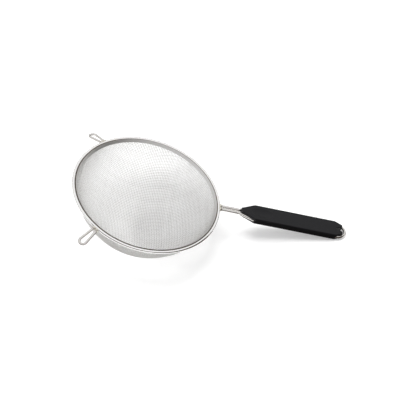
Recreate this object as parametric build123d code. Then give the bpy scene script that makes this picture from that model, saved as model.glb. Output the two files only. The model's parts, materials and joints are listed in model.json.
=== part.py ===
from build123d import *
import math
import os

# A long-handled wire-mesh strainer. All sizes are in millimetres.
#
# The pieces are laid out around the rim: the centre of the rim hoop is the origin, the mouth of the
# bowl faces +Z and the handle runs along +X. At the end they are all turned and moved together into
# the pose in which the strainer stands on a table, on its bowl and on the end of its handle loop.

# Rim hoop: a round wire bent into a ring
hoop_outer_radius = 76.0
hoop_wire_diameter = 3.1

# Rim band: a thin strip, folded over the edge of the mesh and welded inside the hoop
band_thickness = 0.5
band_top_height = 1.2  # top of the fold, above the centre of the hoop
band_outer_leg_drop = 1.3  # lower edge of the outer leg, below the centre of the hoop
band_inner_leg_reach = 1.9  # how far the sloping inner leg reaches in, past the outer leg
band_inner_leg_slope = 48.0  # degrees below the horizontal
band_fold_radius = 0.35
band_fold_drop = 0.65  # where the inner leg starts on the outer one, below the top of the fold

# Mesh bowl: woven wire cloth pressed to a spherical cap, drawn here as a closed shell
mesh_thickness = 0.8
bowl_depth = 59.0  # from the centre plane of the hoop to the outside of the bottom
mesh_edge_drop = 0.6  # top edge of the mesh, below the centre plane of the hoop

# Ears: two bent wire loops that rest on the edge of a pot
ear_wire_diameter = 2.6
ear_angle = 129.5  # from the handle, degrees
ear_reach = 23.5  # along the loop, from the centre of the hoop wire to the outside of the tip
ear_droop = 22.0  # degrees below the plane of the rim
ear_foot_spacing = 3.4
ear_tip_width = 10.4  # over the outside of the wire
ear_bend_radius = 3.6

# Handle wire: one wire, welded to the hoop at both ends and bent into a long loop
handle_wire_diameter = 3.0
handle_length = 211.3  # from the centre of the rim to the outside of the loop
leg_spacing = 4.1  # between the centres of the two legs, at the rim
leg_length = 20.0  # from the outside of the hoop to where the legs spread
loop_width = 19.2  # over the outside of the wire
spread_length = 16.0  # along the handle, from the legs to the full width
loop_tip_length = 5.6  # along the handle, over which the loop narrows to its end
loop_tip_width = 6.8  # between the corners of the end, before they are rounded
spread_bend_radius = 6.0
loop_bend_radius = 8.0
loop_tip_bend_radius = 5.5

# Grip: one plastic moulding, held between the two sides of the handle wire
grip_start = 2.0  # from where the legs spread to the front of the grip
grip_top_height = 4.1  # above the centre plane of the wire
grip_bottom_drop = 3.1  # below the centre plane of the wire
grip_front_width = 5.4
grip_side_overhang = 1.6  # how far the sides stand out past the centre of the wire
grip_prong_gap = 2.0  # from the prong tips to the inside of the wire at the end of the loop
grip_prong_tip_inset = 3.8  # from the side of the grip to the outer corner of a prong tip
grip_prong_tip_width = 2.8
grip_notch_depth = 7.5
grip_shoulder_radius = 3.5
grip_rear_radius = 7.0
grip_taper_lead = 5.6  # from where the grip starts to narrow behind to where the wire does
grip_prong_radius = 0.8
grip_notch_radius = 0.6
grip_top_edge_radius = 0.8
grip_bottom_edge_radius = 0.6
thumb_dish_length = 24.0
thumb_dish_width = 12.5
thumb_dish_depth = 1.1
thumb_dish_start = 9.5  # from the front of the grip to the near end of the dish

# Weld beads: how far each bead stands out around its wire
ear_weld_margin = 0.75
handle_weld_margin = 0.75

same_place = 0.01  # two corners nearer than this are taken as one

# Derived places, still around the rim
hoop_wire_radius = hoop_wire_diameter / 2
hoop_radius = hoop_outer_radius - hoop_wire_radius
band_outer_radius = hoop_radius - hoop_wire_radius
mesh_mouth_radius = band_outer_radius - band_thickness
handle_wire_radius = handle_wire_diameter / 2
ear_wire_radius = ear_wire_diameter / 2
legs_end = hoop_outer_radius + leg_length
spread_end = legs_end + spread_length
loop_end = handle_length - handle_wire_radius
loop_half_width = loop_width / 2 - handle_wire_radius
tip_start = loop_end - loop_tip_length
grip_front = legs_end + grip_start
grip_prong_end = loop_end - handle_wire_radius - grip_prong_gap
grip_taper_start = tip_start - grip_taper_lead
grip_half_width = loop_half_width + grip_side_overhang
grip_prong_tip_outer = grip_half_width - grip_prong_tip_inset
grip_notch_half_width = grip_prong_tip_outer - grip_prong_tip_width  # half the mouth of the notch


def sphere_through(mouth_radius, mouth_height, bottom_height):
    """The centre height and the radius of the sphere through a mouth circle and a bottom point."""
    rise = mouth_height - bottom_height
    radius = (mouth_radius**2 + rise**2) / (2 * rise)
    return bottom_height + radius, radius


bowl_centre_height, bowl_radius = sphere_through(mesh_mouth_radius, -mesh_edge_drop, -bowl_depth)


def make_hoop():
    """The closed ring of round wire."""
    return revolve(Plane.XZ * Pos(hoop_radius, 0) * Circle(hoop_wire_radius), Axis.Z)


def make_band():
    """The folded strip: a short upright leg against the hoop and a sloping leg over the mesh."""
    slope = math.radians(band_inner_leg_slope)
    inward = Vector(-math.cos(slope), -math.sin(slope))
    inner_leg = inward * (band_inner_leg_reach / math.cos(slope))
    front_face = Vector(-math.sin(slope), math.cos(slope)) * band_thickness
    back_corner = Vector(mesh_mouth_radius, band_top_height - band_fold_drop)
    front_corner = back_corner + front_face
    to_top = (band_top_height - front_corner.Y) / math.sin(slope)
    top_corner = front_corner - inward * to_top
    outline = Polyline(
        (band_outer_radius, -band_outer_leg_drop),
        (band_outer_radius, band_top_height),
        top_corner,
        front_corner + inner_leg,
        back_corner + inner_leg,
        back_corner,
        (mesh_mouth_radius, -band_outer_leg_drop),
        close=True,
    )
    section = make_face(outline)
    fold = section.vertices().sort_by(Axis.Y)[-2:]
    section = fillet(fold, band_fold_radius)
    return revolve(Plane.XZ * section, Axis.Z)


def make_mesh():
    """The bowl as an open shell of even thickness, with a flat upper edge."""
    shell = Sphere(bowl_radius) - Sphere(bowl_radius - mesh_thickness)
    shell = Pos(0, 0, bowl_centre_height) * shell
    keep = Pos(0, 0, -mesh_edge_drop) * Box(
        4 * bowl_radius, 4 * bowl_radius, 2 * bowl_depth, align=(Align.CENTER, Align.CENTER, Align.MAX)
    )
    return shell & keep


def bent_wire(points, radii, diameter):
    """A round wire along straight runs with rounded bends."""
    path = FilletPolyline(*points, radius=radii)
    start = Plane(origin=path @ 0, z_dir=path % 0)
    return sweep(start * Circle(diameter / 2), path=path)


def ear_place():
    """The place of the right ear: origin on the hoop's centre line, x outwards and down along it."""
    return Rot(0, 0, ear_angle) * Pos(hoop_radius, 0, 0) * Rot(0, ear_droop, 0)


def make_right_ear(hoop):
    """One loop, with its feet shaped to the hoop."""
    tip = ear_reach - ear_wire_radius
    half_foot = ear_foot_spacing / 2
    half_tip = ear_tip_width / 2 - ear_wire_radius
    points = [(0, -half_foot), (tip, -half_tip), (tip, half_tip), (0, half_foot)]
    loop = bent_wire(points, ear_bend_radius, ear_wire_diameter)
    return ear_place() * loop - hoop


def make_right_ear_weld(hoop, band, ear):
    """The bead that joins both feet of an ear to the outside of the hoop."""
    bead = [
        Pos(hoop_wire_radius, y, 0) * Sphere(ear_wire_radius + ear_weld_margin)
        for y in (-ear_foot_spacing / 2, ear_foot_spacing / 2)
    ]
    return ear_place() * (bead[0] + bead[1]) - hoop - band - ear


def handle_path_points():
    """The corners of the handle wire, from one weld round the loop to the other."""
    half_leg = leg_spacing / 2
    foot = math.sqrt(hoop_radius**2 - half_leg**2)
    side = [
        (foot, half_leg),
        (legs_end, half_leg),
        (spread_end, loop_half_width),
        (tip_start, loop_half_width),
        (loop_end, loop_tip_width / 2),
    ]
    return [(x, -y) for x, y in side] + list(reversed(side))


def make_handle_wire(hoop):
    """The long loop, with the ends of its legs shaped to the hoop."""
    bends = [spread_bend_radius, loop_bend_radius, loop_bend_radius, loop_tip_bend_radius]
    loop = bent_wire(handle_path_points(), bends + bends[::-1], handle_wire_diameter)
    return loop - hoop


def make_handle_weld(hoop, band, wire):
    """The bead that joins both legs of the handle wire to the outside of the hoop."""
    bead = [
        Pos(hoop_outer_radius, y, 0) * Sphere(handle_wire_radius + handle_weld_margin)
        for y in (-leg_spacing / 2, leg_spacing / 2)
    ]
    return bead[0] + bead[1] - hoop - band - wire


def round_corners(section, x, half_width, radius):
    """Rounds the corners of a flat outline that are at x, half_width either side of the middle."""
    corners = [
        corner
        for corner in section.vertices()
        if math.isclose(corner.X, x, abs_tol=same_place)
        and math.isclose(abs(corner.Y), half_width, abs_tol=same_place)
    ]
    return fillet(corners, radius)


def make_grip(wire):
    """The moulding: a flat bar with a pointed front, two prongs behind, and a groove for the wire."""
    notch_end = grip_prong_end - grip_notch_depth
    side = [
        (grip_front, grip_front_width / 2),
        (spread_end, grip_half_width),
        (grip_taper_start, grip_half_width),
        (grip_prong_end, grip_prong_tip_outer),
        (grip_prong_end, grip_notch_half_width),
    ]
    outline = side + [(notch_end, 0)] + [(x, -y) for x, y in reversed(side)]
    face = make_face(Polyline(*outline, close=True))
    face = round_corners(face, spread_end, grip_half_width, grip_shoulder_radius)
    face = round_corners(face, grip_taper_start, grip_half_width, grip_rear_radius)
    face = round_corners(face, grip_prong_end, grip_prong_tip_outer, grip_prong_radius)
    face = round_corners(face, notch_end, 0, grip_notch_radius)
    bar = Pos(0, 0, -grip_bottom_drop) * extrude(face, grip_top_height + grip_bottom_drop)
    bar = fillet(bar.faces().sort_by(Axis.Z)[-1].edges(), grip_top_edge_radius)
    bar = fillet(bar.faces().sort_by(Axis.Z)[0].edges(), grip_bottom_edge_radius)
    return bar - thumb_dish() - wire


def arc_radius(width, depth):
    """The radius of the arc that is this wide and this deep."""
    return ((width / 2) ** 2 + depth**2) / (2 * depth)


def thumb_dish():
    """The spindle that sinks an oval dish into the top of the grip."""
    across = arc_radius(thumb_dish_width, thumb_dish_depth)
    along = arc_radius(thumb_dish_length, thumb_dish_depth)
    half_span = math.sqrt(along**2 - (along - across) ** 2)
    arc = ThreePointArc((-half_span, 0), (0, -across), (half_span, 0))
    section = make_face(arc + Line((half_span, 0), (-half_span, 0)))
    spindle = revolve(Plane.XZ * section, Axis.X)
    middle = grip_front + thumb_dish_start + thumb_dish_length / 2
    return Pos(middle, 0, grip_top_height - thumb_dish_depth + across) * spindle


def standing_place():
    """Turns the strainer down towards its handle until the end of the loop is on the table."""
    reach = math.hypot(bowl_centre_height, loop_end)
    lean = math.atan2(loop_end, bowl_centre_height)
    tilt = lean - math.acos((bowl_radius - handle_wire_radius) / reach)
    turned = Rot(0, math.degrees(tilt), 0)
    lift = bowl_radius - bowl_centre_height * math.cos(tilt)
    return Pos(0, 0, lift) * turned


hoop = make_hoop()
band = make_band()
handle_wire = make_handle_wire(hoop)
right_ear = make_right_ear(hoop)
right_ear_weld = make_right_ear_weld(hoop, band, right_ear)
nodes = {
    "mesh_bowl": make_mesh(),
    "rim_band": band,
    "rim_hoop": hoop,
    "left_ear": mirror(right_ear, about=Plane.XZ),
    "right_ear": right_ear,
    "left_ear_weld": mirror(right_ear_weld, about=Plane.XZ),
    "right_ear_weld": right_ear_weld,
    "handle_wire": handle_wire,
    "handle_weld": make_handle_weld(hoop, band, handle_wire),
    "grip": make_grip(handle_wire),
}

standing = {name: standing_place() * shape for name, shape in nodes.items()}
boxes = [shape.bounding_box() for shape in standing.values()]
middle_x = (min(box.min.X for box in boxes) + max(box.max.X for box in boxes)) / 2
middle_y = (min(box.min.Y for box in boxes) + max(box.max.Y for box in boxes)) / 2
lowest = min(box.min.Z for box in boxes)

os.makedirs("parts", exist_ok=True)
for name, shape in standing.items():
    export_step(Pos(-middle_x, -middle_y, -lowest) * shape, f"parts/{name}.step")
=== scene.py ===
# %% [markdown]
# # A long-handled wire mesh strainer
#
# The CAD model already holds every rigid piece at its real size: a rim hoop, a folded strip inside it, two
# ears, a handle wire with its grip, and the weld beads. The one piece that CAD only stands in for is the woven
# wire cloth, so that is the piece built here. The rest keeps its CAD mesh and gets a real finish.
#
# The frame comes first, because it says where everything is.

import json
import math

import bmesh
import bpy
from mathutils import Matrix, Vector


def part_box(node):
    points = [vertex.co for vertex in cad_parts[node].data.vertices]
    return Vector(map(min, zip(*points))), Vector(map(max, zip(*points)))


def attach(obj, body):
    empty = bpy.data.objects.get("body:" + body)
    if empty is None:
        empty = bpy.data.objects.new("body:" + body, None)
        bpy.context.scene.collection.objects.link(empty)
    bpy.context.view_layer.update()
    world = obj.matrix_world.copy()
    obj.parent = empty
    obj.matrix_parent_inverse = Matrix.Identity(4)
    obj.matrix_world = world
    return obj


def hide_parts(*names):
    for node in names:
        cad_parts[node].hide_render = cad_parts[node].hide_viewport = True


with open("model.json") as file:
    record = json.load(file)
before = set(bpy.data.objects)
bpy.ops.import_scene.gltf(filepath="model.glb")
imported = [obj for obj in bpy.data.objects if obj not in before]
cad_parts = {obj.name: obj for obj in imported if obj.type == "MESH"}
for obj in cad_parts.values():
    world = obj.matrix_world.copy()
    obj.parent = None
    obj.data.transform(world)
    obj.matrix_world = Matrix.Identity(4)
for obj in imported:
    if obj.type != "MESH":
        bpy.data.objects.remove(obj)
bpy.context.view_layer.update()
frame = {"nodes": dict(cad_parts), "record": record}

# %% [markdown]
# ## Working around the rim
#
# The strainer stands on its bowl and on the end of its handle, so its rim leans. A bowl is easiest to build
# upright, around its own centre, and then lean into place. The rim's centre is the middle of the hoop's box,
# because a ring's box is centred on the ring however it leans, and the hanging loop's axis is square to the rim.

# %% The place of the rim
mounts = {mount["name"]: mount for mount in frame["record"]["mounts"]}
rim_up = Vector(mounts["hanging_loop"]["axis"]).normalized()
tilt = math.atan2(rim_up.x, rim_up.z)
hoop_low, hoop_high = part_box("rim_hoop")
rim_centre = (hoop_low + hoop_high) / 2
from_rim = Matrix.Translation(rim_centre) @ Matrix.Rotation(tilt, 4, "Y")
into_rim = from_rim.inverted()
print("rim leans", round(math.degrees(tilt), 2), "degrees, centre", [round(x, 4) for x in rim_centre])


# %% Sizes of a node, measured around the rim
def rim_box(node):
    """The lowest and highest corner of a CAD node, in the upright frame of the rim."""
    points = [into_rim @ vertex.co for vertex in frame["nodes"][node].data.vertices]
    low = Vector([min(point[axis] for point in points) for axis in range(3)])
    high = Vector([max(point[axis] for point in points) for axis in range(3)])
    return low, high


cloth_low, cloth_high = rim_box("mesh_bowl")
mouth_radius = cloth_high.y
mouth_height = cloth_high.z
bowl_rise = mouth_height - cloth_low.z
bowl_radius = (mouth_radius**2 + bowl_rise**2) / (2 * bowl_rise)
bowl_centre = cloth_low.z + bowl_radius
print("bowl radius", round(bowl_radius, 5), "centre above rim", round(bowl_centre, 5))

# %% [markdown]
# ## How wire cloth lies on a bowl
#
# Wire cloth is pressed into shape from a flat, square weave. A wire hardly stretches, so the distance from one
# crossing to the next stays the same, and the cloth gives by its squares leaning over into diamonds. That is
# worked out like a fishing net laid on a ball. The two middle wires follow great circles. After that, each new
# crossing is the point on the ball that is one pitch from two neighbours that are already known.

# %% Sizes of the cloth
wire_pitch = 0.00173
cloth_wire_radius = 0.0002
cloth_skin = 0.0004  # from the outside of the bowl to the middle of the cloth
cloth_radius = bowl_radius - cloth_skin
mouth_polar = math.acos((bowl_centre - mouth_height) / bowl_radius)
steps_out = math.ceil(mouth_polar * cloth_radius / wire_pitch)
widest_diamond = 1.98 * wire_pitch  # beyond this a diamond has closed and has no room for a next crossing
crossing_share = 0.25  # how much of a pitch, either side of a crossing, the wire stays level
print("crossings from the middle to the rim:", steps_out)


# %% Lay the net
def next_crossing(left, back, opposite):
    """The point on the ball that is one pitch from left and from back, on the far side from opposite."""
    middle = (left + back) / 2
    along = (left - back).normalized()
    outward = middle - along * middle.dot(along)
    outward.normalize()
    away = along.cross(outward).normalized()
    if away.dot(opposite - middle) > 0:
        away = -away
    half = (left - back).length / 2
    reach = math.sqrt(max(wire_pitch**2 - half**2, 0.0))
    point = middle + away * reach
    return point.normalized() * cloth_radius


def lay_quadrant(x_side, y_side):
    """The crossings of one quarter of the net, by how many wires along and across they are."""
    turn = wire_pitch / cloth_radius
    net = {}
    for step in range(steps_out + 1):
        angle = step * turn
        net[step, 0] = Vector((x_side * math.sin(angle), 0, -math.cos(angle))) * cloth_radius
        net[0, step] = Vector((0, y_side * math.sin(angle), -math.cos(angle))) * cloth_radius
    for row in range(1, steps_out + 1):
        for column in range(1, steps_out + 1):
            known = [net.get(key) for key in ((column, row - 1), (column - 1, row), (column - 1, row - 1))]
            if None in known:
                continue
            if (known[0] - known[1]).length > widest_diamond:
                continue
            net[column, row] = next_crossing(*known)
    return net


crossings = {}
for x_side in (1, -1):
    for y_side in (1, -1):
        for (column, row), point in lay_quadrant(x_side, y_side).items():
            crossings[x_side * column, y_side * row] = point
print("crossings on the ball", len(crossings))

# %% [markdown]
# ## Weaving the wires
#
# In a plain weave each wire goes over one neighbour and under the next, and it is nearly straight where it
# crosses. So a wire gets two points at each crossing, a quarter of a pitch either side of it, and both are lifted
# off the ball or pushed below it by one wire radius. The other set of wires does the opposite, so they never
# meet. Curves with a bevel make the wires, because a curve keeps its round section along a path, and there are
# hundreds of them, so each section has only four sides.


# %% One wire of the cloth
def inside_mouth(point):
    return point.z + bowl_centre < mouth_height


def lifted(point, side):
    """The point, moved out from the ball or into it by the wire's radius, and down to the rim's frame."""
    moved = point.normalized() * (cloth_radius + side * cloth_wire_radius)
    return moved + Vector((0, 0, bowl_centre))


def cut_at_mouth(inner, outer):
    """The point between two crossings where the wire reaches the edge of the cloth."""
    limit = mouth_height - bowl_centre
    return inner.lerp(outer, (limit - inner.z) / (outer.z - inner.z))


def wire_path(keys, first_side):
    """The points of one wire, from one edge of the cloth to the other."""
    points = [crossings[key] for key in keys]
    inside = [index for index, point in enumerate(points) if inside_mouth(point)]
    if len(inside) < 3:
        return []
    first, last = inside[0], inside[-1]
    path = []
    if first > 0:
        path.append(lifted(cut_at_mouth(points[first], points[first - 1]), 0))
    for index in range(first, last + 1):
        side = first_side if index % 2 == 0 else -first_side
        before = points[max(index - 1, 0)]
        after = points[min(index + 1, len(points) - 1)]
        path.append(lifted(points[index].lerp(before, crossing_share), side))
        path.append(lifted(points[index].lerp(after, crossing_share), side))
    if last < len(points) - 1:
        path.append(lifted(cut_at_mouth(points[last], points[last + 1]), 0))
    return path


# %% A curve made into a mesh, in its place
def mesh_from_curve(curve, name):
    """A mesh piece with the shape of a curve that was drawn around the rim."""
    maker = bpy.data.objects.new(name + "_maker", curve)
    bpy.context.scene.collection.objects.link(maker)
    bpy.context.view_layer.update()
    evaluated = maker.evaluated_get(bpy.context.evaluated_depsgraph_get())
    mesh = bpy.data.meshes.new_from_object(evaluated)
    bpy.data.objects.remove(maker)
    mesh.transform(from_rim)
    mesh.name = name
    piece = bpy.data.objects.new(name, mesh)
    bpy.context.scene.collection.objects.link(piece)
    return piece


def weave(name, paths):
    """One set of parallel wires, as one piece."""
    curve = bpy.data.curves.new(name, "CURVE")
    curve.dimensions = "3D"
    curve.bevel_depth = cloth_wire_radius
    curve.bevel_resolution = 0
    curve.use_fill_caps = True
    for path in paths:
        spline = curve.splines.new("POLY")
        spline.points.add(len(path) - 1)
        for point, place in zip(spline.points, path):
            point.co = (*place, 1)
        spline.use_smooth = True
    piece = mesh_from_curve(curve, name)
    triangles = sum(len(face.vertices) - 2 for face in piece.data.polygons)
    print(name, len(paths), "wires,", triangles, "triangles")
    return piece


# %% Both sets of wires
span = range(-steps_out, steps_out + 1)
warp_paths = [wire_path([(column, row) for row in span], 1 if column % 2 == 0 else -1) for column in span]
weft_paths = [wire_path([(column, row) for column in span], -1 if row % 2 == 0 else 1) for row in span]
warp = weave("cloth_warp", [path for path in warp_paths if path])
weft = weave("cloth_weft", [path for path in weft_paths if path])
for cloth in (warp, weft):
    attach(cloth, "root")
    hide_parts("mesh_bowl")

# %% [markdown]
# ## Steel and plastic
#
# Polished steel has hardly a colour of its own: it shows what is around it, so its finish is a smooth metal with
# a faint unevenness that blurs the reflection a little. The hoop is the brightest piece, the drawn wires are a
# little duller, and the rolled strip is duller still. The grip is a satin moulding with a fine grain.
#
# Where the strip meets the hoop, the crevice between them is too thin for its shade to show by itself, so shade
# is
# painted into the strip's colour, darker towards the hoop. That is measured as the distance from the rim's own
# axis:
# the cross product of a place, seen from the rim's centre, with the axis is as long as that distance.


# %% How a finish is made
def finish(name, colour, metallic, roughness):
    """A material with a Principled shader, and the node tree to add detail to."""
    material = bpy.data.materials.new(name)
    material.use_nodes = True
    shader = material.node_tree.nodes["Principled BSDF"]
    shader.inputs["Base Color"].default_value = (*colour, 1)
    shader.inputs["Metallic"].default_value = metallic
    shader.inputs["Roughness"].default_value = roughness
    return material, shader


def add_grain(material, shader, scale, detail, height):
    """Fine unevenness in the surface, from noise on object coordinates."""
    nodes, links = material.node_tree.nodes, material.node_tree.links
    place = nodes.new("ShaderNodeTexCoord")
    noise = nodes.new("ShaderNodeTexNoise")
    noise.inputs["Scale"].default_value = scale
    noise.inputs["Detail"].default_value = detail
    bump = nodes.new("ShaderNodeBump")
    bump.inputs["Distance"].default_value = height
    links.new(place.outputs["Object"], noise.inputs["Vector"])
    links.new(noise.outputs["Fac"], bump.inputs["Height"])
    links.new(bump.outputs["Normal"], shader.inputs["Normal"])
    return noise


def add_roughness_range(material, shader, noise, low, high):
    """Lets the polish wander between two roughnesses."""
    nodes, links = material.node_tree.nodes, material.node_tree.links
    spread = nodes.new("ShaderNodeMapRange")
    spread.inputs["To Min"].default_value = low
    spread.inputs["To Max"].default_value = high
    links.new(noise.outputs["Fac"], spread.inputs["Value"])
    links.new(spread.outputs["Result"], shader.inputs["Roughness"])


def grained_finish(name, colour, metallic, roughness, grain, polish):
    """A finish with grain, given as scale, detail and height, and a polish between two roughnesses."""
    material, shader = finish(name, colour, metallic, roughness)
    noise = add_grain(material, shader, *grain)
    add_roughness_range(material, shader, noise, *polish)
    return material, shader


def add_painted_crevice_shade(material, shader, colour, dark, reach, blend_width):
    """Paints shade on a ring where it nears the wire around it, by its distance from the rim's own axis."""
    nodes, links = material.node_tree.nodes, material.node_tree.links
    place = nodes.new("ShaderNodeTexCoord")
    centre = nodes.new("ShaderNodeVectorMath")
    centre.operation = "SUBTRACT"
    centre.inputs[1].default_value = rim_centre
    along = nodes.new("ShaderNodeVectorMath")
    along.operation = "CROSS_PRODUCT"
    along.inputs[1].default_value = rim_up
    distance = nodes.new("ShaderNodeVectorMath")
    distance.operation = "LENGTH"
    darkness = nodes.new("ShaderNodeMapRange")
    darkness.inputs["From Min"].default_value = reach - blend_width
    darkness.inputs["From Max"].default_value = reach
    shade = nodes.new("ShaderNodeValToRGB")
    shade.color_ramp.elements[0].color = (*colour, 1)
    shade.color_ramp.elements[1].color = (*dark, 1)
    links.new(place.outputs["Object"], centre.inputs[0])
    links.new(centre.outputs["Vector"], along.inputs[0])
    links.new(along.outputs["Vector"], distance.inputs[0])
    links.new(distance.outputs["Value"], darkness.inputs["Value"])
    links.new(darkness.outputs["Result"], shade.inputs["Fac"])
    links.new(shade.outputs["Color"], shader.inputs["Base Color"])


# %% Finishes
metal, plastic = 1, 0  # how metallic a finish is
steel_grain = 0.000004  # how high the grain stands, in metres
weld_grain = 0.00008
grip_grain = 0.00002
band_colour = (0.62, 0.61, 0.60)
# painted shade: the dark colour the strip takes towards the hoop, in place of the crevice's own shade
painted_crevice_shade_colour = (0.12, 0.1, 0.08)
painted_shade_radius = mouth_radius + 0.0001
painted_shade_width = 0.0003
grip_shine = 0.25

cloth_steel, _ = finish("cloth_steel", (0.66, 0.652, 0.635), metal, 0.3)
wire_steel, _ = grained_finish(
    "wire_steel", (0.88, 0.87, 0.86), metal, 0.1, grain=(900, 2, steel_grain), polish=(0.05, 0.13)
)
drawn_steel, _ = grained_finish(
    "drawn_steel", (0.68, 0.66, 0.64), metal, 0.12, grain=(1100, 2, steel_grain), polish=(0.08, 0.18)
)
band_steel, band_shader = grained_finish(
    "band_steel", band_colour, metal, 0.28, grain=(700, 3, steel_grain), polish=(0.36, 0.5)
)
# painted crevice shade on the strip, darker towards the hoop
add_painted_crevice_shade(band_steel, band_shader, band_colour, painted_crevice_shade_colour, painted_shade_radius, painted_shade_width)
weld_steel, _ = grained_finish(
    "weld_steel", (0.70, 0.67, 0.60), metal, 0.3, grain=(1400, 3, weld_grain), polish=(0.22, 0.42)
)
grip_plastic, grip_shader = grained_finish(
    "grip_plastic", (0.004, 0.004, 0.0052), plastic, 0.4, grain=(2600, 3, grip_grain), polish=(0.36, 0.5)
)
grip_shader.inputs["Specular IOR Level"].default_value = grip_shine
print("finishes made:", len(bpy.data.materials), "materials in the file")

# %% Dress the pieces
for cloth in (warp, weft):
    cloth.data.materials.append(cloth_steel)
node_finishes = {
    "rim_hoop": wire_steel,
    "left_ear": drawn_steel,
    "right_ear": drawn_steel,
    "handle_wire": drawn_steel,
    "rim_band": band_steel,
    "left_ear_weld": weld_steel,
    "right_ear_weld": weld_steel,
    "handle_weld": weld_steel,
    "grip": grip_plastic,
}
for node, material in node_finishes.items():
    frame["nodes"][node].data.materials[0] = material
print("finishes on", len(node_finishes), "nodes")

# %% [markdown]
# ## Floor, surroundings, light and camera
#
# The strainer lies on a plain white floor under soft lights. The floor also glows a little, so that it comes out
# as white as the background while it still takes a shadow. It and the surroundings are all made in the same few
# steps, so those come first.


# %% Making a stage piece
def piece_from(shape, name, material):
    """A piece made from a finished shape, in one material."""
    mesh = bpy.data.meshes.new(name)
    shape.to_mesh(mesh)
    shape.free()
    mesh.materials.append(material)
    piece = bpy.data.objects.new(name, mesh)
    bpy.context.scene.collection.objects.link(piece)
    print(name, "has", len(mesh.polygons), "faces")
    return piece


def raise_wall(shape, foot, height):
    """Pulls the edges of a foot line straight up into a wall."""
    wall = bmesh.ops.extrude_edge_only(shape, edges=foot)
    wall_top = [part for part in wall["geom"] if isinstance(part, bmesh.types.BMVert)]
    bmesh.ops.translate(shape, verts=wall_top, vec=(0, 0, height))


def glow(shader, strength):
    """Makes a finish give off white light."""
    shader.inputs["Emission Color"].default_value = (1, 1, 1, 1)
    shader.inputs["Emission Strength"].default_value = strength


# %% Floor
floor_half_width = 0.6
floor_glow = 0.27

floor_white, floor_shader = finish("floor_white", (0.8, 0.8, 0.8), plastic, 0.9)
glow(floor_shader, floor_glow)
ground = bmesh.new()
bmesh.ops.create_grid(ground, x_segments=1, y_segments=1, size=floor_half_width)
floor = piece_from(ground, "floor", floor_white)

# %% [markdown]
# Steel needs something dark to reflect, or it looks like plaster. The dark things here are a card bent around the
# front and the handle side, and two flat dark sheets that are painted shadow: a small disc on the floor below the
# bowl, for the bowl's shadow, and a patch of floor in front of the grip, for the shade beside the grip.
# Only reflections can see them: they throw no shadow, and no camera finds them from any side. The two flat ones
# lie a hair above the floor, so that they never share its plane.

# %% Dark card, and painted shadows below the bowl and in front of the grip
card_radius = 0.45
card_height = 0.32
card_start = math.radians(205)  # from the handle's direction, anticlockwise as seen from above
card_end = math.radians(375)
card_steps = 24
card_gap = 0.00005  # above the floor
# painted shadow: a dark disc below the bowl, which the wires mirror in place of the bowl's shadow
painted_bowl_shadow_radius = 0.045
painted_bowl_shadow_steps = 48
painted_bowl_shadow_shift = Vector((0.024, 0.012))  # from below the middle of the rim
grip_low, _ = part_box("grip")

card = bmesh.new()
card_foot = []
for step in range(card_steps + 1):
    angle = card_start + (card_end - card_start) * step / card_steps
    card_foot.append(card.verts.new((card_radius * math.cos(angle), card_radius * math.sin(angle), 0)))
foot_edges = [card.edges.new(pair) for pair in zip(card_foot, card_foot[1:])]
raise_wall(card, foot_edges, card_height)
painted_bowl_shadow_place = Matrix.Translation((rim_centre.x + painted_bowl_shadow_shift.x, painted_bowl_shadow_shift.y, card_gap))
bmesh.ops.create_circle(
    card, cap_ends=True, segments=painted_bowl_shadow_steps, radius=painted_bowl_shadow_radius, matrix=painted_bowl_shadow_place
)
# painted shadow: a dark patch of floor in front of the grip, which the grip's side mirrors in place of its shade
painted_grip_shadow_patch = [
    (grip_low.x, -card_radius),
    (card_radius, -card_radius),
    (card_radius, grip_low.y),
    (grip_low.x, grip_low.y),
]
card.faces.new([card.verts.new((x, y, card_gap)) for x, y in painted_grip_shadow_patch])
# one dark finish for the card and for the painted shadows
card_dark, _ = finish("card_dark", (0.045, 0.032, 0.024), plastic, 1)
dark_card = piece_from(card, "dark_card", card_dark)

# %% [markdown]
# Beyond the card, a low grey wall stands all round, and over everything is a white dome that glows evenly. The
# wires mirror the dome along their tops, and the wall and the card along their sides.

# %% A low grey horizon
horizon_radius = 0.5
horizon_height = 0.14
horizon_steps = 64

horizon = bmesh.new()
bmesh.ops.create_circle(horizon, cap_ends=False, segments=horizon_steps, radius=horizon_radius)
raise_wall(horizon, horizon.edges[:], horizon_height)
horizon_grey, _ = finish("horizon_grey", (0.12, 0.11, 0.1), plastic, 1)
grey_horizon = piece_from(horizon, "grey_horizon", horizon_grey)

# %% A white dome
dome_radius = 1.8
dome_rounds = 4  # times each face of the starting shape is split in four
dome_glow = 0.95

dome = bmesh.new()
bmesh.ops.create_icosphere(dome, subdivisions=dome_rounds, radius=dome_radius)
dome_white, dome_shader = finish("dome_white", (0, 0, 0), plastic, 1)
glow(dome_shader, dome_glow)
white_dome = piece_from(dome, "white_dome", dome_white)

# %% Surroundings that only reflections see
for card_piece in (dark_card, grey_horizon, white_dome):
    card_piece.visible_camera = False
    card_piece.visible_diffuse = False
    card_piece.visible_transmission = False
    card_piece.visible_shadow = False
print("surroundings hidden from the camera, from soft light and from shadows")

# %% [markdown]
# Two soft lights shape the strainer: a large one overhead, and a weak one from the left. Reflections don't see
# them, so that no bright square shows in the polished wire. The world is plain white. The camera sees it at full
# strength, and to everything else it is dimmer, so that the shadow on the floor stays visible.


# %% Lights
light_target = Vector((0, 0, 0.03))


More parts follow.
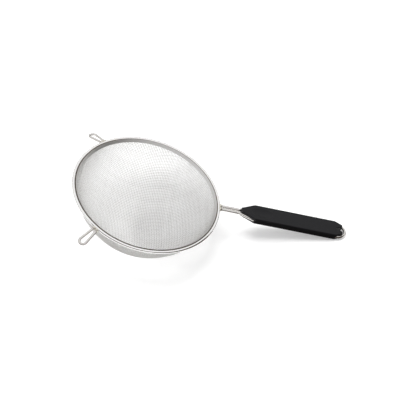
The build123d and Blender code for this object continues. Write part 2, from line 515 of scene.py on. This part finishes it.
def area_light(name, place, size, power):
    """A square soft light that faces the strainer, and that reflections don't see."""
    light = bpy.data.lights.new(name, "AREA")
    light.size = size
    light.energy = power
    lamp = bpy.data.objects.new(name, light)
    lamp.location = place
    lamp.rotation_euler = (light_target - Vector(place)).to_track_quat("-Z", "Y").to_euler()
    lamp.visible_glossy = False
    bpy.context.scene.collection.objects.link(lamp)
    print(name, "light,", power, "W")


area_light("key", place=(-0.12, 0.05, 1.3), size=0.7, power=13)
area_light("fill", place=(-0.9, -0.3, 0.7), size=0.5, power=2)

# %% World
world_to_objects = 0.55
world_to_camera = 1
world = bpy.data.worlds.new("surroundings")
bpy.context.scene.world = world
world.use_nodes = True
world_nodes, world_links = world.node_tree.nodes, world.node_tree.links
rays = world_nodes.new("ShaderNodeLightPath")
brightness = world_nodes.new("ShaderNodeMapRange")
brightness.inputs["To Min"].default_value = world_to_objects
brightness.inputs["To Max"].default_value = world_to_camera
world_links.new(rays.outputs["Is Camera Ray"], brightness.inputs["Value"])
world_links.new(brightness.outputs["Result"], world_nodes["Background"].inputs["Strength"])
world_nodes["Background"].inputs["Color"].default_value = (1, 1, 1, 1)
bpy.context.scene.view_settings.view_transform = "Standard"
print("world strength", world_to_objects, "for objects and", world_to_camera, "for the camera")

# %% [markdown]
# The camera looks down on the strainer from the side, from far enough away for a long lens. It is placed by the
# point it looks at, how far round it stands, how high it looks down from, and how far off it is.

# %% Camera
look_at = Vector((-0.0124, 0.0099, 0.0394))
camera_turn = math.radians(0.46)
camera_rise = math.radians(47.73)
camera_distance = 1.216
camera_lens = 107.95  # millimetres, as is the width of the sensor
camera_sensor = 36
backwards = Vector(
    (
        math.sin(camera_turn) * math.cos(camera_rise),
        -math.cos(camera_turn) * math.cos(camera_rise),
        math.sin(camera_rise),
    )
)
camera_data = bpy.data.cameras.new("camera")
camera_data.lens = camera_lens
camera_data.sensor_width = camera_sensor
camera = bpy.data.objects.new("camera", camera_data)
camera.location = look_at + backwards * camera_distance
camera.rotation_euler = (-backwards).to_track_quat("-Z", "Y").to_euler()
bpy.context.scene.collection.objects.link(camera)
bpy.context.scene.camera = camera
print("camera at", [round(x, 3) for x in camera.location])
